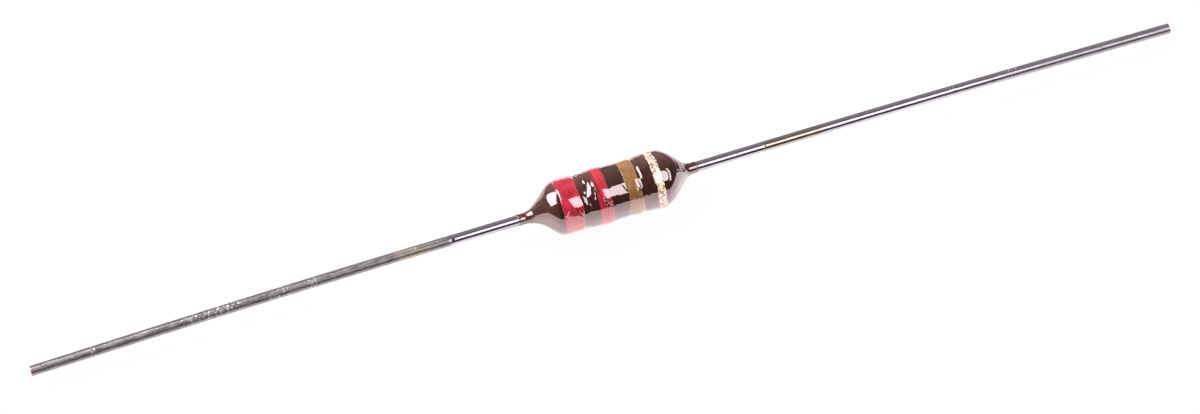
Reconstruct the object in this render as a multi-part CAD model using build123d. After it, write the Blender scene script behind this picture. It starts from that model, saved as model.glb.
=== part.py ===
from build123d import *
import math
import os

# Axial inductor. A moulded ferrite drum carries a coil of enamelled copper wire. A tinned wire lead is
# glued into each end of the drum, the ends of the coil are wrapped round the leads and soldered, and the
# whole is dipped in lacquer and painted with four colour bands.
# Millimetres. Everything is drawn about the drum's axis, which runs along X, and is lifted at the end so
# that the body lies on the plane z = 0. Left is -X, right is +X, and a side is written as -1 or 1.

# Whole part
overall_length = 68.0
core_shift = 0.12  # the drum sits this far to the right of the middle

# Leads: straight as they leave the body, then bent gently down towards their tips
lead_diameter = 0.6
bend_radius = 480.0
left_bend_start = 10.0
left_bend_angle = 2.0
right_bend_start = 12.0
right_bend_angle = 1.6
tip_round = 0.04

# Ferrite drum
core_length = 6.6
flange_diameter = 2.9
flange_thickness = 0.9
flange_chamfer = 0.1
window_depth = 0.65  # from the rim down to the waist
seat_depth = 1.3

# Adhesive round each lead in its seat, and the bead where it stands out of the drum
glue_film = 0.05
glue_bed = 0.1
glue_bead_height = 0.22
glue_bead_reach = 0.2

# Coil, its two tails and their wraps round the leads
wire_diameter = 0.12
wire_gap = 0.01  # between a tail and what it lies on
coil_margin = 0.15  # the coil stays at least this far inside the rims
notch_clearance = 0.02
tail_embed = 0.3
tail_overhang = 0.15
tail_bend = 0.15
left_tail_angle = 65.0
right_tail_angle = 200.0
wrap_start = 0.62
wrap_turns = 2
wrap_gap = 0.02
wrap_meet = 0.25  # the tail comes down onto its wrap this many turns after the wrap's start

# Solder over the wraps
solder_margin = 0.17
solder_cover = 0.14

# Lacquer: a film on each lead, a cone up over each rim of the drum, and a crown in waves between them
lacquer_film = 0.04
left_neck = 0.77
right_neck = 0.55
left_foot_margin = 0.27  # from the solder to the foot of the cone
right_foot_margin = 0.25
left_rim_film = 0.146
right_rim_film = 0.133
foot_round = 0.75
shoulder_round = 1.2
crown_round = 1.2
round_share = 0.45  # a round takes at most this share of the shorter run beside it
crown_ramp = 0.3
left_crown = 0.19  # each height of the crown is what stands out past the flanges
left_waist = 0.12
hump = 0.22
middle_waist = 0.155
brown_crown = 0.16
right_waist = 0.14
right_crown = 0.18

# Colour bands: the middle of each as a share of the way along the drum from its left end, and its width
paint_thickness = 0.03
first_red_place = 0.142
first_red_width = 1.22
second_red_place = 0.418
second_red_width = 0.73
brown_place = 0.683
brown_width = 0.94
gold_place = 0.912
gold_width = 0.49

# Sizes that follow from those above
lead_radius = lead_diameter / 2
flange_radius = flange_diameter / 2
waist_radius = flange_radius - window_depth
wire_radius = wire_diameter / 2
layer_count = int((window_depth - coil_margin) / wire_diameter)
window_length = core_length - 2 * flange_thickness
turns_per_layer = int(window_length / wire_diameter - 0.5)
coil_radius = waist_radius + (layer_count - 0.5) * wire_diameter  # to the middle of the outermost turns
notch_floor = coil_radius - wire_radius
notch_width = wire_diameter + 2 * notch_clearance
tail_radius = notch_floor + wire_gap + wire_radius
wrap_radius = lead_radius + wire_gap + wire_radius
wrap_pitch = wire_diameter + wrap_gap
solder_start = wrap_start - wire_radius - solder_margin
solder_end = wrap_start + wrap_turns * wrap_pitch + wire_radius + solder_margin
solder_radius = wrap_radius + wire_radius + solder_cover
film_radius = lead_radius + lacquer_film
axis_height = flange_radius + hump + paint_thickness


def beyond(side, distance):
    """The x coordinate at a distance outwards from the drum's end face on one side."""
    return core_shift + side * (core_length / 2 + distance)


def spun(*edges):
    """A solid of revolution about the X axis from edges on (x, radius) that make a closed outline."""
    return revolve(make_face(Plane.XZ * Wire(list(edges))), Axis.X)


def spun_polygon(*points):
    """A solid of revolution about the X axis from the (x, radius) corners of a closed outline."""
    return spun(*Polyline(*points, close=True).edges())


def make_lead(side, bend_start, bend_angle):
    """A round wire from its seat in the drum to its cut tip, with one long bend downwards."""
    seat = beyond(side, glue_bed - seat_depth)
    straight = Line((seat, 0), (side * bend_start, 0))
    bend = JernArc(straight @ 1, straight % 1, bend_radius, -side * bend_angle)
    run = (overall_length / 2 - abs((bend @ 1).X)) / math.cos(math.radians(bend_angle))
    end = Line(bend @ 1, (bend @ 1) + (bend % 1) * run)
    path = Plane.XZ * Wire([straight, bend, end])
    section = Plane(origin=(seat, 0, 0), z_dir=(side, 0, 0)) * Circle(lead_radius)
    wire = sweep(section, path=path)
    tip = wire.faces().sort_by(Axis.X)[0 if side < 0 else -1]
    return fillet(tip.edges(), tip_round)


def make_core():
    """The drum: two flanges on a waist, a blind seat in each end and a notch in each rim for a tail."""
    left, right = beyond(-1, 0), beyond(1, 0)
    drum = Cylinder(flange_radius, core_length, rotation=(0, 90, 0))
    drum = chamfer(drum.edges().filter_by(GeomType.CIRCLE), flange_chamfer)
    drum = Pos(core_shift, 0, 0) * drum
    window = spun_polygon(
        (left + flange_thickness, waist_radius),
        (left + flange_thickness, 2 * flange_radius),
        (right - flange_thickness, 2 * flange_radius),
        (right - flange_thickness, waist_radius),
    )
    drum -= window
    for side, angle in ((-1, left_tail_angle), (1, right_tail_angle)):
        drum -= spun_polygon(
            (beyond(side, 0), 0),
            (beyond(side, 0), lead_radius + glue_film),
            (beyond(side, -seat_depth), lead_radius + glue_film),
            (beyond(side, -seat_depth), 0),
        )
        notch = Box(flange_thickness, notch_width, flange_radius)
        place = Pos(beyond(side, -flange_thickness / 2), 0, notch_floor + flange_radius / 2)
        drum -= Rot(X=angle) * place * notch
    return drum


def make_glue(side, lead):
    """Adhesive that fills the seat round and behind the lead and stands out as a small bead."""
    seat = spun_polygon(
        (beyond(side, -seat_depth), 0),
        (beyond(side, -seat_depth), lead_radius + glue_film),
        (beyond(side, 0), lead_radius + glue_film),
        (beyond(side, 0), lead_radius + glue_bead_height),
        (beyond(side, glue_bead_reach), lead_radius),
        (beyond(side, glue_bead_reach), 0),
    )
    return seat - lead


def make_tail(side, angle):
    """The end of the coil's wire: over the flange in its notch, down to the lead and wrapped round it."""
    begin = beyond(side, wrap_start)
    wrap_length = wrap_turns * wrap_pitch
    wrap = Helix(wrap_pitch, wrap_length, wrap_radius, center=(begin, 0, 0), direction=(side, 0, 0))
    section = Plane(origin=wrap @ 0, z_dir=wrap % 0) * Circle(wire_radius)
    wrapped = sweep(section, path=wrap, is_frenet=True)
    meeting = wrap @ (wrap_meet / wrap_turns)
    to_top = 90 - math.degrees(math.atan2(meeting.Z, meeting.Y))
    inner = beyond(side, -flange_thickness - tail_embed)
    corner = beyond(side, tail_overhang)
    run = [(inner, tail_radius), (corner, tail_radius), (meeting.X, wrap_radius)]
    section = Plane(origin=(inner, 0, tail_radius), z_dir=(side, 0, 0)) * Circle(wire_radius)
    tail = sweep(section, path=Plane.XZ * FilletPolyline(*run, radius=tail_bend))
    return Rot(X=angle) * (tail + Rot(X=to_top) * wrapped)


def make_winding():
    """The coil as one solid whose outermost turns stand out as ridges, with its two tails."""
    left, right = beyond(-1, -flange_thickness), beyond(1, -flange_thickness)
    first = left + (window_length - turns_per_layer * wire_diameter) / 2
    ridges = []
    for turn in range(turns_per_layer):
        start = first + turn * wire_diameter
        ridges.append(
            ThreePointArc(
                (start, coil_radius),
                (start + wire_radius, coil_radius + wire_radius),
                (start + wire_diameter, coil_radius),
            )
        )
    last = first + turns_per_layer * wire_diameter
    near = Polyline((first, coil_radius), (left, coil_radius), (left, waist_radius))
    base = Line((left, waist_radius), (right, waist_radius))
    far = Polyline((right, waist_radius), (right, coil_radius), (last, coil_radius))
    coil = spun(*ridges, *near.edges(), base, *far.edges())
    return coil + make_tail(-1, left_tail_angle) + make_tail(1, right_tail_angle)


def make_solder(side, lead, winding):
    """A bead of solder over the wraps on one lead."""
    near, far = beyond(side, solder_start), beyond(side, solder_end)
    dome = ThreePointArc((near, lead_radius), ((near + far) / 2, solder_radius), (far, lead_radius))
    sides = Polyline((far, lead_radius), (far, 0), (near, 0), (near, lead_radius))
    return spun(dome, *sides.edges()) - lead - winding


def band_edges(place, width):
    """The x coordinates of a band's two edges."""
    middle = beyond(-1, -place * core_length)
    return middle - width / 2, middle + width / 2


def cone_line(side, foot_margin, rim_film, neck, top):
    """The dipped outline at one end: its end on the lead, the foot of its cone and its shoulder.
    The cone rises from the foot so that it clears the rim of the drum by the film that is asked for."""
    foot = solder_end + foot_margin
    to_rim = Vector(foot + flange_chamfer, flange_radius - film_radius)
    slope = math.atan2(to_rim.Y, to_rim.X) + math.asin(rim_film / to_rim.length)
    shoulder = foot - (top - film_radius) / math.tan(slope)
    return [
        (beyond(side, foot + neck), film_radius),
        (beyond(side, foot), film_radius),
        (beyond(side, shoulder), top),
    ]


def fitting_rounds(points, rounds):
    """The radius for each inner corner of a line of points: the one asked for, or what its runs allow."""
    corners = [Vector(*point) for point in points]
    fitting = []
    for before, corner, after, radius in zip(corners, corners[1:], corners[2:], rounds):
        runs = (corner - before, after - corner)
        turn = math.radians(runs[0].get_angle(runs[1]))
        room = round_share * min(runs[0].length, runs[1].length)
        fitting.append(min(radius, room / math.tan(turn / 2)))
    return fitting


def dipped(skin=0.0):
    """The outside of the lacquer as a solid of revolution, with a skin of paint over its crown if asked."""
    left_top = flange_radius + left_crown + skin
    right_top = flange_radius + right_crown + skin
    left_line = cone_line(-1, left_foot_margin, left_rim_film, left_neck, left_top)
    right_line = cone_line(1, right_foot_margin, right_rim_film, right_neck, right_top)
    _, first_red_end = band_edges(first_red_place, first_red_width)
    hump_start, hump_end = band_edges(second_red_place, second_red_width)
    brown_start, brown_end = band_edges(brown_place, brown_width)
    gold_start, _ = band_edges(gold_place, gold_width)
    crown = [
        (first_red_end - crown_ramp, left_top),
        ((first_red_end + hump_start) / 2, flange_radius + left_waist + skin),
        (hump_start, flange_radius + hump + skin),
        (hump_end, flange_radius + hump + skin),
        ((hump_end + brown_start) / 2, flange_radius + middle_waist + skin),
        (brown_start + crown_ramp, flange_radius + brown_crown + skin),
        (brown_end, flange_radius + right_waist + skin),
        (gold_start - crown_ramp, right_top),
    ]
    points = [*left_line, *crown, *reversed(right_line)]
    rounds = [foot_round, shoulder_round, *[crown_round for _ in crown], shoulder_round, foot_round]
    outside = FilletPolyline(*points, radius=fitting_rounds(points, rounds))
    left_end, right_end = points[0][0], points[-1][0]
    closing = Polyline(points[-1], (right_end, 0), (left_end, 0), points[0])
    return spun(*outside.edges(), *closing.edges())


def make_band(painted, bare, place, width):
    """One ring of paint on the crown."""
    slab = Box(width, 2 * flange_diameter, 2 * flange_diameter)
    middle = beyond(-1, -place * core_length)
    return (painted & Pos(middle, 0, 0) * slab) - bare


lead_left = make_lead(-1, left_bend_start, left_bend_angle)
lead_right = make_lead(1, right_bend_start, right_bend_angle)
ferrite_core = make_core()
glue_left = make_glue(-1, lead_left)
glue_right = make_glue(1, lead_right)
winding = make_winding()
solder_left = make_solder(-1, lead_left, winding)
solder_right = make_solder(1, lead_right, winding)

bare_outside = dipped()
painted_outside = dipped(paint_thickness)
coating = bare_outside
for piece in (ferrite_core, winding, solder_left, solder_right, glue_left, glue_right, lead_left, lead_right):
    coating -= piece

pieces = {
    "lead_left": lead_left,
    "lead_right": lead_right,
    "ferrite_core": ferrite_core,
    "glue_left": glue_left,
    "glue_right": glue_right,
    "winding": winding,
    "solder_left": solder_left,
    "solder_right": solder_right,
    "coating": coating,
    "band_red_first": make_band(painted_outside, bare_outside, first_red_place, first_red_width),
    "band_red_second": make_band(painted_outside, bare_outside, second_red_place, second_red_width),
    "band_brown": make_band(painted_outside, bare_outside, brown_place, brown_width),
    "band_gold": make_band(painted_outside, bare_outside, gold_place, gold_width),
}

os.makedirs("parts", exist_ok=True)
for name, piece in pieces.items():
    export_step(Pos(0, 0, axis_height) * piece, f"parts/{name}.step")
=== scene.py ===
"""Axial inductor: a ferrite drum wound with enamelled wire, on two tinned leads, dipped in brown lacquer
and painted with four colour rings. It lies on a white table under a long strip light."""
import math

import bpy
import numpy as np
from mathutils import Matrix, Vector


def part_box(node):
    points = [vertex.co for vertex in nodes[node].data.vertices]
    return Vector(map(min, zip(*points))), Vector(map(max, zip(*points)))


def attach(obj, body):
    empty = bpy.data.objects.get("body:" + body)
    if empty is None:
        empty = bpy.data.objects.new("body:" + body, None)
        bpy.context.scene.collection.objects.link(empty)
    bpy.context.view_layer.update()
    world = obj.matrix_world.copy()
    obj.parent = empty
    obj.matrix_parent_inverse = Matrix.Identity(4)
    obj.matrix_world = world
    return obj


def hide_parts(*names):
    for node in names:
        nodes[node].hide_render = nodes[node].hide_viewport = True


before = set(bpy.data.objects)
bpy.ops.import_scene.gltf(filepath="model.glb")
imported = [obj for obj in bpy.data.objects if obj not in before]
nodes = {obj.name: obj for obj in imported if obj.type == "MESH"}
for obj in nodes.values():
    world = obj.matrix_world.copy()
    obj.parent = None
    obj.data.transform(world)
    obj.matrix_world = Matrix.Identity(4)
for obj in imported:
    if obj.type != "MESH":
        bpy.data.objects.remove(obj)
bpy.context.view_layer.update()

# Ferrite drum. A reel of pressed and sintered nickel zinc ferrite, which the coil is wound on. The lacquer
# hides it. Sintered grains leave it dull and almost black, with a faint brown cast.
mm = 0.001
ferrite_dark, ferrite_pale = "#262423", "#3D3936"
ferrite_grain = 0.05  # mm, drawn larger than the real grains of about 0.01 mm

core_low, core_high = (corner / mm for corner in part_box("ferrite_core"))
axis_height = (core_low.z + core_high.z) / 2
flange_radius = (core_high.z - core_low.z) / 2


def linear(code):
    """An sRGB hex colour as linear values: c / 12.92, or ((c + 0.055) / 1.055) ^ 2.4 above 0.04045."""
    channels = [int(code[i : i + 2], 16) / 255 for i in (1, 3, 5)]
    return (*(c / 12.92 if c <= 0.04045 else ((c + 0.055) / 1.055) ** 2.4 for c in channels), 1.0)


def add(tree, kind, inputs=None, **settings):
    """Adds a node with its settings. An input takes a value, or a socket that is linked to it."""
    node = tree.nodes.new(kind)
    for name, value in settings.items():
        setattr(node, name, value)
    for name, value in (inputs or {}).items():
        if isinstance(value, bpy.types.NodeSocket):
            tree.links.new(value, node.inputs[name])
        else:
            node.inputs[name].default_value = value
    return node


def new_finish(name):
    """A new material, its node tree, its Principled shader, and the place on the part in millimetres."""
    finish = bpy.data.materials.new(name)
    finish.use_nodes = True
    tree = finish.node_tree
    place = add(tree, "ShaderNodeTexCoord").outputs["Object"]
    in_mm = add(tree, "ShaderNodeVectorMath", {0: place, "Scale": 1 / mm}, operation="SCALE")
    return finish, tree, tree.nodes["Principled BSDF"], in_mm.outputs["Vector"]


def noise(tree, place, size, stretch=(1, 1, 1), detail=2.0):
    """Noise whose lumps are about so many millimetres across, longer along an axis by its stretch."""
    scale = tuple(1 / (size * s) for s in stretch)
    scaled = add(tree, "ShaderNodeVectorMath", {0: place, 1: scale}, operation="MULTIPLY").outputs[0]
    made = add(tree, "ShaderNodeTexNoise", {"Vector": scaled, "Scale": 1.0, "Detail": detail})
    return made.outputs["Fac"]


def spread(tree, value, low, high, start=0.0, end=1.0):
    """Maps a value from low..high to start..end, smoothly, and no further."""
    limits = {"Value": value, "From Min": low, "From Max": high, "To Min": start, "To Max": end}
    return add(tree, "ShaderNodeMapRange", limits, interpolation_type="SMOOTHSTEP").outputs["Result"]


def mixed(tree, share, first, second):
    """The first colour where the share is 0 and the second where it is 1."""
    colours = {0: share, 6: linear(first) if isinstance(first, str) else first}
    colours[7] = linear(second) if isinstance(second, str) else second
    return add(tree, "ShaderNodeMix", colours, data_type="RGBA").outputs[2]


def bump(tree, shader, height, depth, under=None):
    """Relief so many millimetres deep under the shader's gloss, on top of the relief before it."""
    inputs = {"Height": height, "Distance": depth * mm, "Strength": 1.0}
    if under:
        inputs["Normal"] = under
    made = add(tree, "ShaderNodeBump", inputs).outputs["Normal"]
    tree.links.new(made, shader.inputs["Normal"])
    return made


def finish_node(name, finish):
    """Gives a solid of the frame its finish."""
    for slot in nodes[name].material_slots:
        slot.material = finish


ferrite, tree, shader, place = new_finish("sintered_ferrite")
grain = noise(tree, place, ferrite_grain)
colour = mixed(tree, spread(tree, grain, 0.35, 0.65), ferrite_dark, ferrite_pale)
tree.links.new(colour, shader.inputs["Base Color"])
shader.inputs["Roughness"].default_value = 0.6
bump(tree, shader, grain, 0.004)
finish_node("ferrite_core", ferrite)

# Coil. Solderable enamelled copper wire in layers on the drum, with its two ends brought over the rims. The
# enamel is a clear film over bright drawn copper, which gives it a deep orange gloss.
copper_bright, copper_deep = "#C9713F", "#A24E27"

enamelled, tree, shader, place = new_finish("enamelled_copper_wire")
drawn = noise(tree, place, 0.1, stretch=(0.3, 3, 3))
colour = mixed(tree, spread(tree, drawn, 0.3, 0.7), copper_deep, copper_bright)
tree.links.new(colour, shader.inputs["Base Color"])
shader.inputs["Metallic"].default_value = 1.0
shader.inputs["Roughness"].default_value = 0.28
shader.inputs["Coat Weight"].default_value = 1.0
shader.inputs["Coat Roughness"].default_value = 0.08
shader.inputs["Coat IOR"].default_value = 1.55
bump(tree, shader, drawn, 0.001)
finish_node("winding", enamelled)

# Leads. Tinned copper wire, 0.6 mm thick, straight as it leaves the body and bent gently down from 10 or
# 12 mm on. It is bright near the body, with a brownish stain some 10 mm out on each side, and dull and
# nicked where it was handled. The cut ends show the copper.
lead_radius = 0.3
lead_spacing = 0.05
lead_columns = 44
bend_radius = 480.0
tip_round = 0.04
end_inset = 0.002  # mm, how far the skin's ends stay inside the solid's
handled_from, handled_over = 9.2, 0.3
left_lead = {"side": -1, "bend_start": 10.0, "bend_angle": 2.0}
right_lead = {"side": 1, "bend_start": 12.0, "bend_angle": 1.6}


def waves(points, length, seed, count=18):
    """Smooth unevenness that is 1 high on average: sine waves of about one length, in random directions."""
    random = np.random.default_rng(seed)
    directions = random.normal(size=(count, 3))
    directions /= np.linalg.norm(directions, axis=1, keepdims=True)
    lengths = length * random.uniform(0.75, 1.35, count)
    phases = random.uniform(0, 2 * np.pi, count)
    total = 0
    for direction, size, phase in zip(directions, lengths, phases):
        total = total + np.sin(2 * np.pi * (points @ direction) / size + phase)
    return total * math.sqrt(2 / count)


def around(x, angle, radius):
    """Points at a radius from the body's axis. The angle is from the front, -Y, upwards, in radians."""
    return np.stack([x, -radius * np.cos(angle), radius * np.sin(angle)], axis=-1)


def smooth_step(value):
    """0 below 0, 1 above 1, and 3 v^2 - 2 v^3 between."""
    value = np.clip(value, 0, 1)
    return value * value * (3 - 2 * value)


def to_object(name, points, finish, body, closed_rows=False):
    """A mesh from a grid of points in millimetres: rows from left to right, and columns round the axis, of
    which the last joins the first. The rows too are a ring where closed_rows says so, and otherwise a fan
    of triangles about a middle point closes each end."""
    rows, columns = points.shape[:2]
    index = np.arange(rows * columns).reshape(rows, columns)
    right = np.roll(index, -1, axis=1)
    last = rows if closed_rows else rows - 1
    here, there = index[:last], np.roll(index, -1, axis=0)[:last]
    beside, beyond = right[:last], np.roll(right, -1, axis=0)[:last]
    faces = np.stack([here, there, beyond, beside], axis=-1).reshape(-1, 4).tolist()
    vertices = points.reshape(-1, 3)
    if not closed_rows:
        middles = np.stack([points[0].mean(0), points[-1].mean(0)])
        vertices = np.concatenate([vertices, middles])
        first, final = rows * columns, rows * columns + 1
        faces += np.stack([np.full(columns, first), index[0], right[0]], axis=-1).tolist()
        faces += np.stack([np.full(columns, final), right[-1], index[-1]], axis=-1).tolist()
    mesh = bpy.data.meshes.new(name)
    mesh.from_pydata(vertices * mm, [], faces)
    mesh.polygons.foreach_set("use_smooth", np.ones(len(mesh.polygons), bool))
    mesh.materials.append(finish)
    piece = bpy.data.objects.new(name, mesh)
    bpy.context.scene.collection.objects.link(piece)
    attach(piece, body)
    return piece


def lead_drop(distance, bend_start, bend_angle):
    """How far the lead has sunk, and its slope, at a distance from the middle: straight, then a circle of
    bend_radius through bend_angle degrees, then straight at that slope."""
    angle = math.radians(bend_angle)
    past = np.clip(distance - bend_start, 0, None)
    curved = np.minimum(past, bend_radius * math.sin(angle))
    fall = bend_radius - np.sqrt(bend_radius**2 - curved**2)
    slope = curved / np.sqrt(bend_radius**2 - curved**2)
    return fall + (past - curved) * math.tan(angle), slope


def nick(x, angle, at, degrees, length, width):
    """A shallow dent, 1 deep at its middle: a bell over its length along the lead and its width round it."""
    apart = (np.degrees(angle) - degrees + 180) % 360 - 180
    return np.exp(-(((x - at) / length) ** 2) - (apart / width) ** 2)


def make_lead(name, node, side, bend_start, bend_angle, marks, seed, finish):
    """The wire's skin: its round section, long drawing ripples, fine ones, and marks from handling. Each
    end is rounded over tip_round before its flat face, which is square to the bent wire."""
    low, high = (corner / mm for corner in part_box(node))
    count = int((high.x - low.x) / lead_spacing)
    start, end = low.x + end_inset, high.x - end_inset
    x = np.linspace(start, end, count)
    edge = np.array([0.0, 0.3, 0.6, 1.0]) * tip_round
    x = np.unique(np.concatenate([x, start + edge, end - edge]))[:, None]
    angle = np.linspace(0, 2 * np.pi, lead_columns, endpoint=False)[None, :]
    x, angle = np.broadcast_arrays(x, angle)
    skin = around(x, angle, lead_radius)
    handled = smooth_step((np.abs(x) - handled_from) / handled_over)
    radius = lead_radius + 0.0005 * waves(skin * (0.25, 1, 1), 0.35, seed)
    radius = radius + 0.0005 * handled * waves(skin * (0.3, 1, 1), 0.15, seed + 1)
    for at, degrees, length, width, depth in marks:
        radius = radius - depth * nick(x, angle, at, degrees, length, width)
    inside = np.minimum(x - x.min(), x.max() - x)
    rounding = np.clip(1 - inside / tip_round, 0, 1)
    radius = radius - tip_round * (1 - np.sqrt(1 - rounding**2))
    drop, slope = lead_drop(side * x, bend_start, bend_angle)
    up = radius * np.sin(angle)
    points = np.stack([x + side * slope * up, -radius * np.cos(angle), axis_height - drop + up], axis=-1)
    piece = to_object(name, points, finish, "root")
    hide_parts(node)
    return piece


def handling_marks(seed, clusters):
    """Nicks scattered about each cluster's middle: (x, spread, how many, depth)."""
    random = np.random.default_rng(seed)
    marks = []
    for middle, reach, many, depth in clusters:
        for _ in range(many):
            at = random.normal(middle, reach)
            marks.append((at, random.uniform(10, 130), random.uniform(0.03, 0.09), random.uniform(8, 26),
                          depth * random.uniform(0.5, 1.0)))
    return marks


def product(tree, first, second):
    """Two values multiplied."""
    return add(tree, "ShaderNodeMath", {0: first, 1: second}, operation="MULTIPLY").outputs[0]


tin_bright, tin_dull, tin_dark = "#BDB6C0", "#A8A2A6", "#847E82"
stain = "#B3A698"
scratch_glint_white = "#F6F2F5"
cut_copper = "#C98A74"
stained_left, stained_right = (-12.4, -10.5), (9.4, 12.9)
bright_left, bright_right = -handled_from, 26.0
copper_from, copper_full = 33.93, 33.965  # mm from the middle, where the tin ends at the cut
# Where tools nicked the tin: the middle of each patch and its half length
nicked = [(-30.4, 0.12), (-23.35, 1.8), (-19.4, 0.75), (-17.5, 0.25), (20.8, 0.06), (24.4, 0.4), (29.7, 0.10)]

tinned, tree, shader, place = new_finish("tinned_copper_lead")
along = add(tree, "ShaderNodeSeparateXYZ", {0: place}).outputs["X"]
ragged = add(
    tree, "ShaderNodeMath", {0: noise(tree, place, 0.4), 1: 0.5, 2: along}, operation="MULTIPLY_ADD",
).outputs[0]
bright = product(
    tree,
    spread(tree, ragged, bright_left - 0.1, bright_left + 0.3),
    spread(tree, ragged, bright_right - 8.0, bright_right + 3.0, 1.0, 0.3),
)
streaks = noise(tree, place, 0.05, stretch=(14, 1, 1), detail=3.0)
mottle = noise(tree, place, 0.22, stretch=(3, 1, 1), detail=4.0)
dull = mixed(tree, spread(tree, streaks, 0.3, 0.7), tin_dark, tin_dull)
colour = mixed(tree, bright, dull, tin_bright)
for low, high in (stained_left, stained_right):
    stained = product(
        tree, spread(tree, ragged, low, low + 0.25), spread(tree, ragged, high, high + 0.3, 0.8, 0.0)
    )
    colour = mixed(tree, stained, colour, stain)
scratches_and_glints = 0.0
for middle, reach in nicked:
    apart = add(tree, "ShaderNodeMath", {0: along, 1: middle}, operation="SUBTRACT").outputs[0]
    apart = add(tree, "ShaderNodeMath", {0: apart}, operation="ABSOLUTE").outputs[0]
    near = spread(tree, apart, 0.6 * reach, 1.2 * reach, 1.0, 0.0)
    scratches_and_glints = add(tree, "ShaderNodeMath", {0: near, 1: scratches_and_glints}, operation="MAXIMUM").outputs[0]
ticks = noise(tree, place, 0.10, stretch=(0.5, 3, 3))
bruised = product(tree, scratches_and_glints, spread(tree, ticks, 0.33, 0.42, 1.0, 0.0))
colour = mixed(tree, bruised, colour, tin_dark)
# Painted glints: near-white ticks in the nicked patches stand for scratched tin catching the light.
scratches_and_glints = product(tree, scratches_and_glints, spread(tree, ticks, 0.57, 0.66))
colour = mixed(tree, scratches_and_glints, colour, scratch_glint_white)
for tip in (-1, 1):
    cut = spread(tree, along, tip * copper_from, tip * copper_full)
    colour = mixed(tree, cut, colour, cut_copper)
tree.links.new(colour, shader.inputs["Base Color"])
dull_gloss = spread(tree, mottle, 0.3, 0.7, 0.22, 0.38)
gloss = add(tree, "ShaderNodeMix", {0: bright, 2: dull_gloss, 3: 0.09}).outputs[0]
tree.links.new(gloss, shader.inputs["Roughness"])
metal = add(tree, "ShaderNodeMix", {0: bright, 2: 0.6, 3: 0.9}).outputs[0]
metal = add(tree, "ShaderNodeMix", {0: scratches_and_glints, 2: metal, 3: 0.3}).outputs[0]
tree.links.new(metal, shader.inputs["Metallic"])
bump(tree, shader, mottle, 0.001, bump(tree, shader, streaks, 0.0004))

left_marks = handling_marks(3, [
    (-30.35, 0.1, 3, 0.03), (-23.4, 1.1, 26, 0.018), (-20.0, 0.5, 6, 0.015), (-17.7, 0.3, 5, 0.016),
    (-9.3, 0.08, 3, 0.02),
])
right_marks = handling_marks(5, [
    (9.34, 0.02, 2, 0.03), (20.8, 0.1, 2, 0.02), (23.6, 0.6, 8, 0.018), (29.7, 0.05, 2, 0.03),
])
make_lead("tinned_lead_left", "lead_left", **left_lead, marks=left_marks, seed=11, finish=tinned)
make_lead("tinned_lead_right", "lead_right", **right_lead, marks=right_marks, seed=17, finish=tinned)

# Adhesive and solder. A drop of clear amber epoxy holds each lead in its seat, and a bead of tin solder
# joins the coil's end to the lead. Both are closed in by the lacquer.
epoxy, tree, shader, place = new_finish("amber_epoxy")
cloud = noise(tree, place, 0.3)
tree.links.new(mixed(tree, cloud, "#B98A44", "#D8B070"), shader.inputs["Base Color"])
shader.inputs["Roughness"].default_value = 0.2
shader.inputs["IOR"].default_value = 1.55
bump(tree, shader, cloud, 0.003)
for name in ("glue_left", "glue_right"):
    finish_node(name, epoxy)

solder, tree, shader, place = new_finish("tin_solder")
grain = noise(tree, place, 0.12, detail=3.0)
tree.links.new(mixed(tree, grain, "#A8A9AC", "#D5D6D8"), shader.inputs["Base Color"])
shader.inputs["Metallic"].default_value = 1.0
shader.inputs["Roughness"].default_value = 0.3
bump(tree, shader, grain, 0.004)
for name in ("solder_left", "solder_right"):
    finish_node(name, solder)

# Lacquer. The wound drum is dipped in a thick brown epoxy lacquer, which is baked. It creeps up each lead as
# a thin ragged collar, draws in to a cone at each end, and lies in rings and hollows over the coil. It is
# glassy, with a skin that is a little uneven, as poured lacquer is.
coat_end, collar_radius = 5.36, 0.34
skin_radius = 1.62  # mm, about that of the coat over the drum
swell_radius = 1.6  # mm, where the swells and the wander of the rings' edges are taken
outline = [
    # x, radius, and half the length that rounds the corner
    (-coat_end, collar_radius, 0.0),
    (-4.66, collar_radius, 0.26),
    (-3.29, 1.626, 0.44),
    (-2.60, 1.640, 0.30),
    (-1.95, 1.622, 0.08),
    (-1.79, 1.578, 0.04),
    (-0.90, 1.645, 0.03),
    (-0.42, 1.682, 0.05),
    (-0.10, 1.660, 0.06),
    (0.10, 1.615, 0.08),
    (0.86, 1.596, 0.05),
    (0.93, 1.598, 0.03),
    (1.50, 1.652, 0.04),
    (1.72, 1.590, 0.03),
    (1.81, 1.585, 0.02),
    (1.91, 1.632, 0.02),
    (2.52, 1.678, 0.04),
    (3.00, 1.660, 0.10),
    (3.33, 1.630, 0.40),
    (4.80, collar_radius, 0.28),
    (coat_end, collar_radius, 0.0),
]
# The left cone is fuller towards 62 degrees, where the lacquer ran: its middle, how far it reaches to the
# left and to the right of it, and how much. It stays full over the top, and falls off below. The right
# shoulder reaches further out over the top, and least at the underside.
lean_middle, lean_left, lean_right, lean_depth, lean_degrees = -3.93, 0.80, 1.08, 0.28, 62
shoulder_least, shoulder_more, shoulder_degrees = -0.03, 0.24, 100
# The fold in the lacquer under the first red ring: degrees from the front, and x in millimetres
fold = [(-60, -1.30), (-15, -1.48), (30, -1.87), (52, -2.22), (72, -2.48), (110, -2.75), (180, -2.9)]
# The chip in the second red ring: two strokes, each its (x, degrees) points and half its width, and its depth
paint_chip = [
    (((-0.435, 56), (-0.425, 44), (-0.34, 41), (-0.12, 43)), 0.06),
    (((-0.42, 46), (-0.30, 36)), 0.065),
]
chip_floor = 0.045
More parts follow.
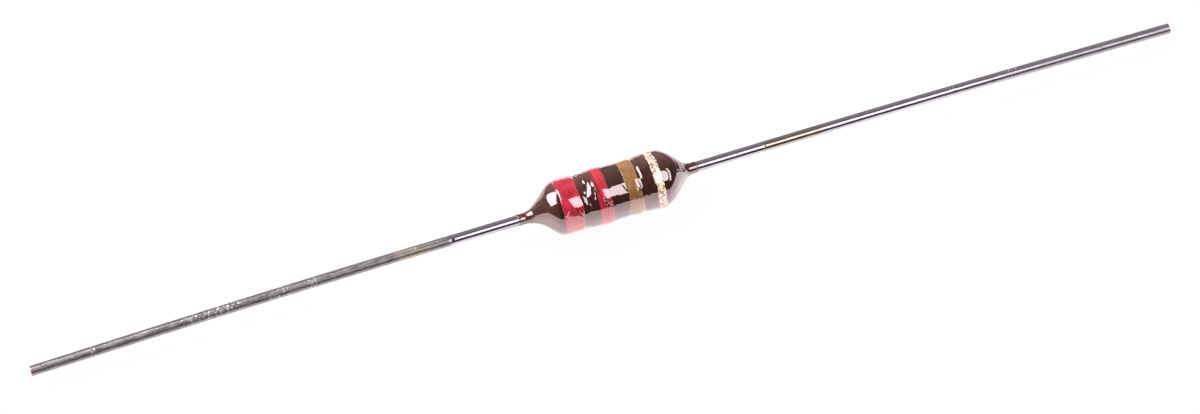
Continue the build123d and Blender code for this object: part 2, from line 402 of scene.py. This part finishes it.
# Troughs and scratches: their (x, degrees) points, then half their width and their depth
troughs = [
    (((-1.25, 89), (-1.33, 81), (-1.37, 75)), 0.17, 0.08),
    (((-1.46, 70), (-1.45, 56)), 0.09, 0.030),
    (((-1.39, 103), (-1.38, 99)), 0.08, 0.042),
    (((-0.98, 92), (-0.97, 87)), 0.05, 0.022),
]
lacquer_scars = [
    (((0.66, 70), (0.76, 61), (0.82, 56)), 0.028, 0.020),
    (((0.76, 61), (0.72, 67)), 0.022, 0.014),
    (((3.39, 75), (3.45, 66), (3.41, 54)), 0.035, 0.032),
    (((4.08, 70), (4.30, 66), (4.55, 68)), 0.030, 0.022),
    (((-1.34, 54), (-1.29, 45)), 0.026, 0.014),
    (((-0.93, 76), (-0.90, 68)), 0.026, 0.012),
]
tan_scars = [(((1.50, 57), (1.60, 46)), 0.035, 0.018), (((1.64, 68), (1.70, 56)), 0.024, 0.022)]
# Pinholes where a bubble burst, and a speck that stands up: x, degrees, radius, depth
pinholes = [
    (-2.72, 44, 0.055, 0.050), (-0.56, 11, 0.04, -0.035), (2.2, 130, 0.03, 0.012), (0.3, 190, 0.04, 0.014),
    (-2.2, 215, 0.035, 0.014), (3.3, 170, 0.03, 0.012), (-3.4, 150, 0.035, 0.01),
]
# Ridges of lacquer that ran together on the right-hand neck: x, height, half width
neck_ridges = [(4.16, 0.016, 0.035), (4.30, 0.020, 0.032), (4.43, 0.018, 0.030), (4.62, 0.010, 0.03)]


def ramp(distance, half):
    """A corner rounded by a parabola: 0 until -half, then (d + half)^2 / (4 half), and d from half on."""
    return np.where(distance > half, distance, np.clip(distance + half, 0, None) ** 2 / (4 * half))


def outline_radius(x):
    """The dipped outline: straight runs through the stations, and at each the change of slope, rounded."""
    places, radii, halves = np.array(outline).T
    slopes = np.diff(radii) / np.diff(places)
    radius = radii[0] + slopes[0] * (x - places[0])
    for place, change, half in zip(places[1:-1], np.diff(slopes), halves[1:-1]):
        radius = radius + change * ramp(x - place, half)
    return radius


def from_front(angle):
    """The angle in degrees, from -90 at the underside over the front and the top to 270."""
    return (np.degrees(angle) + 90) % 360 - 90


def line_round(angle, stations):
    """x of a line that runs round the body through its (degrees, x) stations."""
    degrees, places = np.array(stations).T
    return np.interp(from_front(angle), degrees, places)


def window(value, low, high, soft):
    """1 between low and high, and 0 further out than soft."""
    return smooth_step((value - low) / soft + 1) * smooth_step((high - value) / soft + 1)


def to_path(x, angle, path):
    """Distance from a path of (x, degrees) points, in millimetres over the surface."""
    nearest = np.full(x.shape, np.inf)
    y = np.radians(from_front(angle)) * skin_radius
    for (x0, d0), (x1, d1) in zip(path, path[1:]):
        y0, y1 = math.radians(d0) * skin_radius, math.radians(d1) * skin_radius
        run = (x1 - x0) ** 2 + (y1 - y0) ** 2
        share = np.clip(((x - x0) * (x1 - x0) + (y - y0) * (y1 - y0)) / run, 0, 1)
        away = np.hypot(x - x0 - share * (x1 - x0), y - y0 - share * (y1 - y0))
        nearest = np.minimum(nearest, away)
    return nearest


def chip_depth(x, angle):
    """How much of the chip in the second red ring is gone at each point, from 0 to 1."""
    skin = around(x, angle, skin_radius)
    gone = 0
    for path, half in paint_chip:
        away = to_path(x, angle, path) + 0.012 * waves(skin, 0.12, 81)
        gone = np.maximum(gone, np.exp(-((away / half) ** 4)))
    return gone


def lacquer_radius(x, angle):
    """The lacquer's radius: the outline, with the right shoulder moved out by more over the top, less the
    lean away from the side where the lacquer ran, a facet left of the fold and a crease along it, swells
    2 mm long, and the orange peel of poured lacquer, 0.6 and 0.3 mm long, which fade on the collars; then
    small lumps in the hollow, troughs, scars, pinholes, the neck's ridges and the chip."""
    skin = around(x, angle, swell_radius)
    degrees = from_front(angle)
    on_crown = smooth_step((x + 3.6) / 0.8) * smooth_step((3.4 - x) / 0.8)
    off_collar = smooth_step((x + 4.9) / 0.8) * smooth_step((5.0 - x) / 0.8)
    in_hollow = window(x, -1.65, -0.95, 0.15)
    wander = 0.014 * waves(skin * (0.4, 1, 1), 1.6, 21) + 0.006 * waves(skin, 0.5, 22)
    fuller = shoulder_least + shoulder_more * (1 + np.cos(np.radians(degrees - shoulder_degrees))) / 2
    fuller = fuller * smooth_step((x - 2.8) / 0.5) * smooth_step((4.95 - x) / 1.05)
    radius = outline_radius(x + wander * on_crown - fuller)
    turned = (degrees - lean_degrees + 180) % 360 - 180
    turned = np.where(turned > 0, turned * (0.55 + 0.45 * turned / 180), np.minimum(-1.8 * turned, 180))
    lean_reach = np.where(x < lean_middle, lean_left, lean_right)
    lean = np.clip(1 - ((x - lean_middle) / lean_reach) ** 2, 0, None) ** 2
    radius = radius - lean_depth * lean * (1 - np.cos(np.radians(turned))) / 2
    past_fold = x - line_round(angle, fold)
    seen = smooth_step((150 - np.abs(degrees - 60)) / 60)
    radius = radius - 0.085 * np.clip(-past_fold, 0, 0.85) * smooth_step((x + 3.3) / 0.5) * seen
    crease = np.exp(-((past_fold / 0.045) ** 2)) - 0.6 * np.exp(-(((past_fold - 0.09) / 0.045) ** 2))
    on_front = smooth_step((34 - degrees) / 12) * smooth_step((degrees + 75) / 30)
    radius = radius - 0.02 * crease * on_front * on_crown
    radius = radius + 0.004 * waves(skin, 2.2, 23) * off_collar
    radius = radius + 0.0018 * waves(skin, 0.6, 24) * off_collar
    radius = radius + 0.0006 * waves(skin, 0.28, 25) * off_collar
    radius = radius + 0.0024 * waves(skin, 0.26, 26) * in_hollow * window(degrees, 20, 140, 30)
    for path, half, depth in troughs + lacquer_scars + tan_scars:
        radius = radius - depth * np.exp(-((to_path(x, angle, path) / half) ** 2))
    for at, at_degrees, size, depth in pinholes:
        away = to_path(x, angle, ((at, at_degrees - 0.1), (at, at_degrees + 0.1)))
        rim = np.exp(-(((away - 2 * size) / size) ** 2))
        radius = radius - depth * np.exp(-((away / size) ** 2)) + 0.3 * depth * rim
    for at, height, half in neck_ridges:
        bent = at + 0.05 * np.sin(angle * 2 + at * 9)
        radius = radius + height * np.exp(-(((x - bent) / half) ** 2)) * (0.5 + 0.5 * np.cos(angle - 1.9))
    return radius - chip_floor * chip_depth(x, angle)


# Where each spacing of the coat's rows starts, and the spacing: finest in the hollows beside the rings
row_spacing = [
    (-coat_end, 0.05), (-3.4, 0.055), (-1.85, 0.016), (-0.8, 0.05), (0.0, 0.036), (0.9, 0.06), (1.64, 0.016),
    (2.04, 0.045), (2.5, 0.06), (3.08, 0.038),
]
coat_columns = 300
ragged_from, ragged_over = 4.9, 0.46  # mm, the stretch of each collar whose end wanders
end_rounding, foot_height = 0.05, 0.004  # mm, of the collars' ends, along the lead and off it
hole_end, hole_sink = 5.2, 0.002  # mm, where the lead's hole ends, and how far it lies under the lead's skin
hole_start = 1.2  # mm beyond the drum's face
over_solder = [(0.22, 1.30), (0.72, 0.60), (1.0, 0.52)]  # mm beyond the drum's face, and radius


def coat_places():
    """x of the coat's rows, each run of them evenly spaced from its start up to the next one's."""
    ends = [start for start, _ in row_spacing[1:]] + [coat_end]
    runs = []
    for (start, step), end in zip(row_spacing, ends):
        count = round((end - start) / step)
        runs.append(np.arange(count) / count * (end - start) + start)
    return np.concatenate([*runs, [coat_end]])


def make_coat(finish):
    """The lacquer as one closed wall: its outside from the left collar to the right one, rounded over at
    each ragged end, and back along the leads, the solder and the drum's flanges."""
    angle = np.linspace(0, 2 * np.pi, coat_columns, endpoint=False)[None, :]
    x = coat_places()[:, None] + 0 * angle
    ends = around(0 * angle, angle, 1.0)
    ragged_left = 0.05 * waves(ends, 1.2, 31) + 0.02 * waves(ends, 0.4, 32)
    ragged_right = 0.05 * waves(ends, 1.2, 33) + 0.02 * waves(ends, 0.4, 34)
    near_left = smooth_step((-ragged_from - x) / ragged_over)
    near_right = smooth_step((x - ragged_from) / ragged_over)
    angle = angle + 0 * x
    radius = lacquer_radius(x, angle)
    from_end = np.minimum(x + coat_end, coat_end - x)
    rounding = np.clip(1 - from_end / end_rounding, 0, 1)
    foot = lead_radius + foot_height
    radius = foot + (radius - foot) * np.sqrt(1 - rounding**2)
    x = x + ragged_left * near_left + ragged_right * near_right
    outside = around(x, angle, radius)
    hole_radius = lead_radius - hole_sink
    outwards = [(0.0, flange_radius), *over_solder, (hole_start, hole_radius)]
    right_side = [(core_high.x + beyond, size) for beyond, size in reversed(outwards)]
    left_side = [(core_low.x - beyond, size) for beyond, size in outwards]
    inner = [(hole_end, hole_radius), *right_side, *left_side, (-hole_end, hole_radius)]
    inner_x, inner_radius = (np.repeat(column[:, None], coat_columns, 1) for column in np.array(inner).T)
    inside = around(inner_x, np.repeat(angle[:1], len(inner), 0), inner_radius)
    points = np.concatenate([outside, inside]) + (0, 0, axis_height)
    piece = to_object("lacquer_coat", points, finish, "root", closed_rows=True)
    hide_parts("coating")
    return piece


def glassy(shader):
    """Gives a shader the deep gloss of baked resin: a smooth skin of high index under a clear film."""
    gloss = {"Roughness": 0.06, "IOR": 1.6, "Coat Weight": 1.0, "Coat Roughness": 0.03, "Coat IOR": 1.5}
    for name, value in gloss.items():
        shader.inputs[name].default_value = value
    shader.inputs["Specular Tint"].default_value = linear("#FFDDE0")


brown_deep, brown_warm, film_edge = "#43271F", "#64403B", "#84502F"
thick_middle, thick_half = 0.4, 0.5  # mm, the stretch before the light brown ring, where the coat stays dark
film_reach = 0.08  # mm, each side of the collars' ends, over which the film thins

lacquer, tree, shader, place = new_finish("baked_brown_lacquer")
cloud = noise(tree, place, 0.7, detail=3.0)
axes = add(tree, "ShaderNodeSeparateXYZ", {0: place}).outputs
along = axes["X"]
from_thick = add(tree, "ShaderNodeMath", {0: along, 1: thick_middle}, operation="SUBTRACT").outputs[0]
from_thick = add(tree, "ShaderNodeMath", {0: from_thick}, operation="ABSOLUTE").outputs[0]
# Painted light: the coat is painted paler towards its far, upper side, where more light falls, except over
# the middle stretch. It is paler on the left cone too.
upper_side_lit = spread(tree, axes["Y"], -0.5, 0.9, 0.0, 0.85)
painted_light_and_pale_cone = product(tree, upper_side_lit, spread(tree, from_thick, thick_half, thick_half + 0.4))
left_cone = spread(tree, along, -3.5, -3.0, 0.75, 0.0)
painted_light_and_pale_cone = add(tree, "ShaderNodeMath", {0: painted_light_and_pale_cone, 1: left_cone}, operation="MAXIMUM").outputs[0]
clouded = spread(tree, cloud, 0.3, 0.7, -0.25, 0.2)
thin = add(tree, "ShaderNodeMath", {0: clouded, 1: painted_light_and_pale_cone}, operation="ADD", use_clamp=True).outputs[0]
colour = mixed(tree, thin, brown_deep, brown_warm)
ragged = add(
    tree, "ShaderNodeMath", {0: noise(tree, place, 0.12), 1: 0.12, 2: along}, operation="MULTIPLY_ADD",
).outputs[0]
for side in (-1, 1):
    at_end = spread(tree, ragged, side * (coat_end - film_reach), side * (coat_end + film_reach))
    colour = mixed(tree, at_end, colour, film_edge)
tree.links.new(colour, shader.inputs["Base Color"])
glassy(shader)
make_coat(lacquer)

# Colour rings. Each is a ring of enamel rolled on while the body turns: two red, one light brown, and one
# of gold flakes in clear varnish. The paint lies a few hundredths of a millimetre thick with soft edges
# that wander, and shows every swell of the lacquer under it.
ring_columns = 400
red_deep, red_bright = "#C62438", "#EA4258"
tan_deep, tan_bright = "#9C6A40", "#BC8A5A"
gold_deep, gold_pale_glint = "#946C46", "#FFEEDA"


def all_covered(x, angle, start):
    """Paint that hides the lacquer everywhere."""
    return 1 + 0 * x


def first_red_cover(x, angle, start):
    """The first red ring is cracked through along the fold, from 52 degrees down."""
    crack = to_path(x, angle, [(at, degrees) for degrees, at in fold[1:4]])
    return 1 - 0.9 * np.exp(-((crack / 0.045) ** 2))


def second_red_cover(x, angle, start):
    """The second red ring is chipped through at one place and thin along its left edge on the top."""
    thin = window(from_front(angle), 80, 150, 22) * smooth_step(1 - (x - start - 0.15) / 0.07)
    return (1 - 0.62 * thin) * (1 - chip_depth(x, angle))


def tan_cover(x, angle, start):
    """The light brown ring is rubbed thin at two scars."""
    rubbed = 0
    for path, half, depth in tan_scars:
        rubbed = np.maximum(rubbed, np.exp(-((to_path(x, angle, path) / (1.3 * half)) ** 2)))
    return 1 - 0.55 * rubbed


def make_ring(name, node, left, right, thickness, edge, seed, rows, finish, cover=all_covered):
    """A closed ring of paint. Its edges run through their (degrees, x) stations and wander; its outside
    stands off the lacquer by the thickness, less the fall of a quarter ellipse within the edge's width, and
    its inside lies just under the lacquer's skin. The cover attribute says how well it hides."""
    angle = np.linspace(0, 2 * np.pi, ring_columns, endpoint=False)[None, :]
    skin = around(0 * angle, angle, swell_radius)
    start = line_round(angle, left) + 0.010 * waves(skin, 0.7, seed) + 0.006 * waves(skin, 0.22, seed + 1)
    end = line_round(angle, right) + 0.010 * waves(skin, 0.7, seed + 2) + 0.006 * waves(skin, 0.22, seed + 3)
    across = np.linspace(0, 1, rows)[:, None]
    across = 0.6 * (1 - np.cos(np.pi * across)) / 2 + 0.4 * across
    x = start + across * (end - start)
    angle = angle + 0 * x
    fall = np.clip(1 - np.minimum(x - start, end - x) / edge, 0, 1)
    hiding = cover(x, angle, start)
    stand_off = thickness * np.sqrt(1 - fall**2) * (0.3 + 0.7 * hiding)
    outside = around(x, angle, lacquer_radius(x, angle) + stand_off - 0.002)
    inner_x, inner_angle = x[::-3], angle[::-3]
    inside = around(inner_x, inner_angle, lacquer_radius(inner_x, inner_angle) - 0.02)
    points = np.concatenate([outside, inside]) + (0, 0, axis_height)
    piece = to_object(name, points, finish, "root", closed_rows=True)
    values = np.concatenate([hiding, hiding[::-3]]).astype(np.float32)
    piece.data.attributes.new("cover", "FLOAT", "POINT").data.foreach_set("value", values.ravel())
    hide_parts(node)
    return piece


def enamel(name, deep, bright, streaked):
    """Gloss enamel: pigment a little uneven, with more or less of the roller's streaks round the body."""
    finish, tree, shader, place = new_finish(name)
    cloud = noise(tree, place, 0.5, detail=3.0)
    rolled = noise(tree, place, 0.09, stretch=(1, 14, 14), detail=2.0)
    layers = {0: streaked, 2: spread(tree, cloud, 0.3, 0.7), 3: spread(tree, rolled, 0.35, 0.65)}
    share = add(tree, "ShaderNodeMix", layers).outputs[0]
    colour = mixed(tree, share, deep, bright)
    hiding = add(tree, "ShaderNodeAttribute", attribute_name="cover").outputs["Fac"]
    tree.links.new(mixed(tree, hiding, brown_deep, colour), shader.inputs["Base Color"])
    glassy(shader)
    bump(tree, shader, cloud, 0.002)
    return finish


red = enamel("red_enamel", red_deep, red_bright, 0.15)
streaked_red = enamel("streaked_red_enamel", red_deep, red_bright, 0.7)
tan = enamel("light_brown_enamel", tan_deep, tan_bright, 0.2)

flake_size = 0.085  # mm, drawn larger than real flakes of about 0.03 mm
gold, tree, shader, place = new_finish("gold_flake_varnish")
# Partly painted glints: the flakes' colours run from deep gold to near white, and the palest stand in part
# for flakes catching the light.
flakes = add(tree, "ShaderNodeTexVoronoi", {"Vector": place, "Scale": 1 / flake_size})
flake_value = add(tree, "ShaderNodeSeparateColor", {0: flakes.outputs["Color"]}).outputs[0]
flake_glint_share = spread(tree, flake_value, 0.0, 0.6)
tree.links.new(mixed(tree, flake_glint_share, gold_deep, gold_pale_glint), shader.inputs["Base Color"])
shader.inputs["Metallic"].default_value = 0.25
shader.inputs["Roughness"].default_value = 0.36
bump(tree, shader, flake_value, 0.02)

# The rings' edges: degrees from the front, and x in millimetres
first_red_left = [
    (-60, -2.88), (-14, -2.90), (31, -2.93), (51, -2.90), (71, -2.92), (108, -2.98), (140, -2.92),
    (230, -2.88),
]
first_red_right = [
    (-60, -1.86), (-3, -1.88), (24, -1.85), (33, -1.78), (54, -1.74), (71, -1.78), (94, -1.82),
    (128, -1.76), (230, -1.80),
]
second_red_left = [
    (-60, -0.90), (-20, -0.96), (8, -0.93), (31, -0.86), (49, -0.84), (71, -0.83), (101, -0.91),
    (126, -0.90), (230, -0.86),
]
second_red_right = [
    (-60, -0.10), (25, -0.10), (44, -0.09), (71, -0.13), (100, -0.13), (129, -0.19), (230, -0.12),
]
tan_left = [
    (-60, 0.83), (-18, 0.81), (14, 0.72), (23, 0.88), (30, 0.90), (49, 0.93), (71, 0.92), (95, 0.86),
    (129, 0.80), (230, 0.85),
]
tan_right = [
    (-60, 1.78), (-27, 1.80), (30, 1.69), (48, 1.71), (71, 1.64), (95, 1.67), (118, 1.66), (230, 1.75),
]
gold_left = [
    (-60, 2.55), (24, 2.55), (43, 2.57), (65, 2.54), (82, 2.52), (101, 2.51), (128, 2.49), (230, 2.53),
]
gold_right = [
    (-60, 3.05), (-16, 3.06), (16, 3.03), (60, 3.03), (82, 3.00), (101, 3.00), (128, 2.94), (230, 3.0),
]
make_ring(
    "first_red_ring", "band_red_first", first_red_left, first_red_right, thickness=0.036, edge=0.11,
    seed=41, rows=61, finish=red, cover=first_red_cover,
)
make_ring(
    "second_red_ring", "band_red_second", second_red_left, second_red_right, thickness=0.010, edge=0.07,
    seed=51, rows=46, finish=streaked_red, cover=second_red_cover,
)
make_ring(
    "light_brown_ring", "band_brown", tan_left, tan_right, thickness=0.010, edge=0.07,
    seed=61, rows=46, finish=tan, cover=tan_cover,
)
make_ring(
    "gold_ring", "band_gold", gold_left, gold_right, thickness=0.022, edge=0.07,
    seed=71, rows=37, finish=gold,
)

# Table, light and camera. A white table fills the view. A long strip light above the front and a square one
# behind to the left show in the gloss, with low white cards and the table, and a soft lamp lights the
# colours. The camera looks down from the front at 62 degrees, turned a little to the left.
view_azimuth, view_elevation = math.radians(-18.8), math.radians(62.0)
camera_distance = 376.6  # mm
pixels_per_mm = 17.7
middle_in_photo = (607.4, 193.4)  # pixels, where the body's middle lies
photo_middle = (600.0, 207.0)  # pixels

table_mesh = bpy.data.meshes.new("white_table")
reach = 3.0
table_corners = [(-reach, -reach, 0), (reach, -reach, 0), (reach, reach, 0), (-reach, reach, 0)]
table_mesh.from_pydata(table_corners, [], [(0, 1, 2, 3)])
table = bpy.data.objects.new("white_table", table_mesh)
bpy.context.scene.collection.objects.link(table)

white = bpy.data.materials.new("white_table_top")
white.use_nodes = True
tree = white.node_tree
tree.nodes.clear()
ray = add(tree, "ShaderNodeLightPath").outputs
place = add(tree, "ShaderNodeTexCoord").outputs["Object"]
table_in_wire, table_in_paint = 2.6, 3.3  # how bright the table shows in the leads and in the paint
shaded_half = 3.5  # mm each way along the axis, where the body shades the table


def lit_table(tree, in_metres):
    """How bright the table is in gloss at each place. First as the wires show it: lit about as far as 10 mm
    in front and dark further off, and dim close by the body. Then what the paint shows besides, which is a
    table lit further out."""
    in_mm = add(tree, "ShaderNodeVectorMath", {0: in_metres, "Scale": 1 / mm}, operation="SCALE")
    axes = add(tree, "ShaderNodeSeparateXYZ", {0: in_mm.outputs["Vector"]}).outputs
    aside = add(tree, "ShaderNodeMath", {0: axes["Y"]}, operation="ABSOLUTE").outputs[0]
    beyond_end = add(tree, "ShaderNodeMath", {0: axes["X"]}, operation="ABSOLUTE").outputs[0]
    beyond_end = add(tree, "ShaderNodeMath", {0: beyond_end, 1: shaded_half}, operation="SUBTRACT").outputs[0]
    beyond_end = add(tree, "ShaderNodeMath", {0: beyond_end, 1: 0.0}, operation="MAXIMUM").outputs[0]
    away = add(tree, "ShaderNodeCombineXYZ", {0: aside, 1: beyond_end}).outputs[0]
    away = add(tree, "ShaderNodeVectorMath", {0: away}, operation="LENGTH").outputs["Value"]
    lit_near = spread(tree, away, 0.8, 4.2, 0.35, 1.0)
    in_front = spread(tree, axes["Y"], -18.0, -10.0, 0.05, 1.0)
    by_wire = product(tree, in_front, spread(tree, axes["Y"], 2.0, 6.0, 0.6, 0.05))
    by_wire = product(tree, product(tree, by_wire, lit_near), table_in_wire)
    slanted = add(tree, "ShaderNodeMath", {0: axes["X"], 1: 0.3, 2: axes["Y"]}, operation="MULTIPLY_ADD")
    to_right = spread(tree, axes["X"], 40.0, 60.0, 1.0, 0.06)
    by_paint = product(tree, to_right, spread(tree, slanted.outputs[0], 9.0, 19.0, 1.0, 0.1))
    by_paint = product(tree, by_paint, spread(tree, axes["Y"], -1.0, 3.0, 1.0, 0.65))
    by_paint = product(tree, product(tree, by_paint, lit_near), table_in_paint)
    return by_wire, add(tree, "ShaderNodeMath", {0: by_paint, 1: by_wire}, operation="SUBTRACT").outputs[0]


glow = add(tree, "ShaderNodeEmission", {"Color": (1, 1, 1, 1), "Strength": 0.965}).outputs[0]
shadow_catcher = add(tree, "ShaderNodeBsdfDiffuse", {"Color": (0.06, 0.06, 0.06, 1)}).outputs[0]
seen = add(tree, "ShaderNodeAddShader", {0: glow, 1: shadow_catcher}).outputs[0]
in_wire = lit_table(tree, place)[0]
mirrored = add(tree, "ShaderNodeEmission", {"Color": (1.0, 0.97, 0.98, 1), "Strength": in_wire}).outputs[0]
plain = add(tree, "ShaderNodeEmission", {"Color": (1.0, 0.98, 0.98, 1), "Strength": 1.0}).outputs[0]
glossy = add(
    tree, "ShaderNodeMath", {0: ray["Is Glossy Ray"], 1: ray["Is Transmission Ray"]}, operation="MAXIMUM",
).outputs[0]
unseen = add(tree, "ShaderNodeMixShader", {0: glossy, 1: plain, 2: mirrored}).outputs[0]
top = add(tree, "ShaderNodeMixShader", {0: ray["Is Camera Ray"], 1: unseen, 2: seen}).outputs[0]
add(tree, "ShaderNodeOutputMaterial", {"Surface": top})
table_mesh.materials.append(white)

world = bpy.data.worlds.new("white_room")
bpy.context.scene.world = world
world.use_nodes = True
tree = world.node_tree
ray = add(tree, "ShaderNodeLightPath").outputs
axes = add(tree, "ShaderNodeSeparateXYZ", {0: add(tree, "ShaderNodeTexCoord").outputs["Generated"]}).outputs
front_wall = spread(tree, axes["Y"], -0.75, 0.1, 0.03, 0.12)
back_wall = spread(tree, axes["Y"], 0.1, 0.85, 0.0, 0.25)
room = add(tree, "ShaderNodeMath", {0: front_wall, 1: back_wall}, operation="ADD").outputs[0]
unseen = add(tree, "ShaderNodeMix", {0: ray["Is Glossy Ray"], 2: 0.22, 3: room}).outputs[0]
strength = add(tree, "ShaderNodeMix", {0: ray["Is Camera Ray"], 2: unseen, 3: 1.0}).outputs[0]
tint = mixed(tree, ray["Is Glossy Ray"], "#FFFFFF", "#FFF6F8")
tree.links.new(tint, tree.nodes["Background"].inputs["Color"])
tree.links.new(strength, tree.nodes["Background"].inputs["Strength"])

target = Vector((0, 0, axis_height * mm))

lit_in_gloss = {
    "painted_body": ("lacquer_coat", "first_red_ring", "second_red_ring", "light_brown_ring", "gold_ring"),
    "bare_leads": ("tinned_lead_left", "tinned_lead_right"),
}
for group, names in lit_in_gloss.items():
    collection = bpy.data.collections.new(group)
    for name in names:
        collection.objects.link(bpy.data.objects[name])


def add_lamp(
    name, centre, towards, width, height, radiance, colour, gloss, only=None, level=(1, 0, 0), glow=None
):
    """A flat lamp of this radiance, whose width lies along the level direction. One kind shows in gloss
    alone and the other lights the paint alone, so that the gloss can be as bright as a studio lamp and the
    colours stay plain. It may light only one group, because bare metal mirrors a lamp ten times as strongly
    as lacquer does. A glow function makes it brighter or darker from place to place."""
    lamp = bpy.data.lights.new(name, "AREA")
    lamp.shape = "RECTANGLE"
    lamp.size, lamp.size_y = width, height
    lamp.energy = radiance * math.pi * width * height
    lamp.color = colour
    if glow:
        lamp.use_nodes = True
        tree = lamp.node_tree
        here = add(tree, "ShaderNodeNewGeometry").outputs["Position"]
        tree.links.new(glow(tree, here), tree.nodes["Emission"].inputs["Strength"])
    piece = bpy.data.objects.new(name, lamp)
    back = (centre - towards).normalized()
    side = Vector(level) - back * back.dot(Vector(level))
    side.normalize()
    piece.matrix_world = Matrix((side, back.cross(side), back)).transposed().to_4x4()
    piece.matrix_world.translation = centre
    piece.visible_diffuse = not gloss
    piece.visible_glossy = gloss
    piece.visible_camera = False
    if only:
        piece.light_linking.receiver_collection = bpy.data.collections[only]
    bpy.context.scene.collection.objects.link(piece)


strip_distance, strip_elevation = 0.5, math.radians(64)
strip_left, strip_right = 0.05, 0.85
strip_plane = Vector((0, -math.cos(strip_elevation), math.sin(strip_elevation))) * strip_distance
strip_centre = target + strip_plane + Vector(((strip_left + strip_right) / 2, 0, 0))
strip_towards = target + Vector((strip_centre.x, 0, 0))
strip_size = (strip_right - strip_left, 0.36)
add_lamp(
    "strip_light", strip_centre, strip_towards, *strip_size, radiance=8.6, colour=(1.0, 0.96, 1.0),
    gloss=True, only="painted_body",
)
add_lamp(
    "strip_on_leads", strip_centre, strip_towards, *strip_size, radiance=2.6, colour=(1.0, 0.97, 1.0),
    gloss=True, only="bare_leads",
)
key_centre = target + Vector((-0.565, 0.37, 0.71)).normalized() * 0.5
key_level = (0.764, -0.054, 0.643)
add_lamp(
    "square_light", key_centre, target, 0.46, 0.45, radiance=11.0, colour=(1.0, 0.99, 1.0), gloss=True,
    level=key_level,
)


def table_in_gloss(tree, here):
    """What the paint shows of the table beyond what the wires show."""
    return lit_table(tree, here)[1]


def card_in_gloss(tree, here):
    """A white card that stands round the front and the left up to 8 degrees, and slopes down to the right."""
    way = add(tree, "ShaderNodeVectorMath", {0: here}, operation="NORMALIZE").outputs["Vector"]
    axes = add(tree, "ShaderNodeSeparateXYZ", {0: way}).outputs
    card_top = spread(tree, axes["X"], 0.2, 0.65, 0.145, 0.0)
    over_card = add(tree, "ShaderNodeMath", {0: axes["Z"], 1: card_top}, operation="SUBTRACT").outputs[0]
    below_top = spread(tree, over_card, -0.025, 0.025, 1.0, 0.0)
    return product(tree, below_top, spread(tree, axes["Y"], 0.0, 0.15, 1.0, 0.0))


lamp_height = 0.000005  # m, just over the table
table_centre = Vector((0, 0, lamp_height))
add_lamp(
    "table_in_paint", table_centre, table_centre + Vector((0, 0, 1)), 1.0, 1.0, radiance=1.0,
    colour=(1.0, 0.84, 0.86), gloss=True, only="painted_body", glow=table_in_gloss,
)
card_reach, card_height = 0.5, 0.12
for name, way, level in (("front_card", (0, -1, 0), (1, 0, 0)), ("left_card", (-1, 0, 0), (0, 1, 0))):
    middle = Vector((0, 0, card_height / 2))
    add_lamp(
        name, Vector(way) * card_reach + middle, middle, 2 * card_reach, card_height, radiance=3.0,
        colour=(1.0, 0.93, 0.94), gloss=True, only="painted_body", level=level, glow=card_in_gloss,
    )
soft_centre = target + Vector((-0.3, 0.45, 0.85)).normalized() * 0.6
add_lamp("soft_light", soft_centre, target, 0.5, 0.5, radiance=3.85, colour=(1.0, 1.0, 1.0), gloss=False)

right = Vector((math.cos(view_azimuth), math.sin(view_azimuth), 0))
back = Vector((
    math.sin(view_azimuth) * math.cos(view_elevation),
    -math.cos(view_azimuth) * math.cos(view_elevation),
    math.sin(view_elevation),
))
up = back.cross(right)
aside = (middle_in_photo[0] - photo_middle[0]) / pixels_per_mm
above = (photo_middle[1] - middle_in_photo[1]) / pixels_per_mm
aim = target - right * aside * mm - up * above * mm
camera_data = bpy.data.cameras.new("camera")
camera_data.lens = 200.0
camera_data.sensor_width = 36.0
camera = bpy.data.objects.new("camera", camera_data)
camera.matrix_world = Matrix((right, up, back)).transposed().to_4x4()
camera.matrix_world.translation = aim + back * camera_distance * mm
bpy.context.scene.collection.objects.link(camera)
bpy.context.scene.camera = camera
bpy.context.scene.view_settings.view_transform = "Standard"
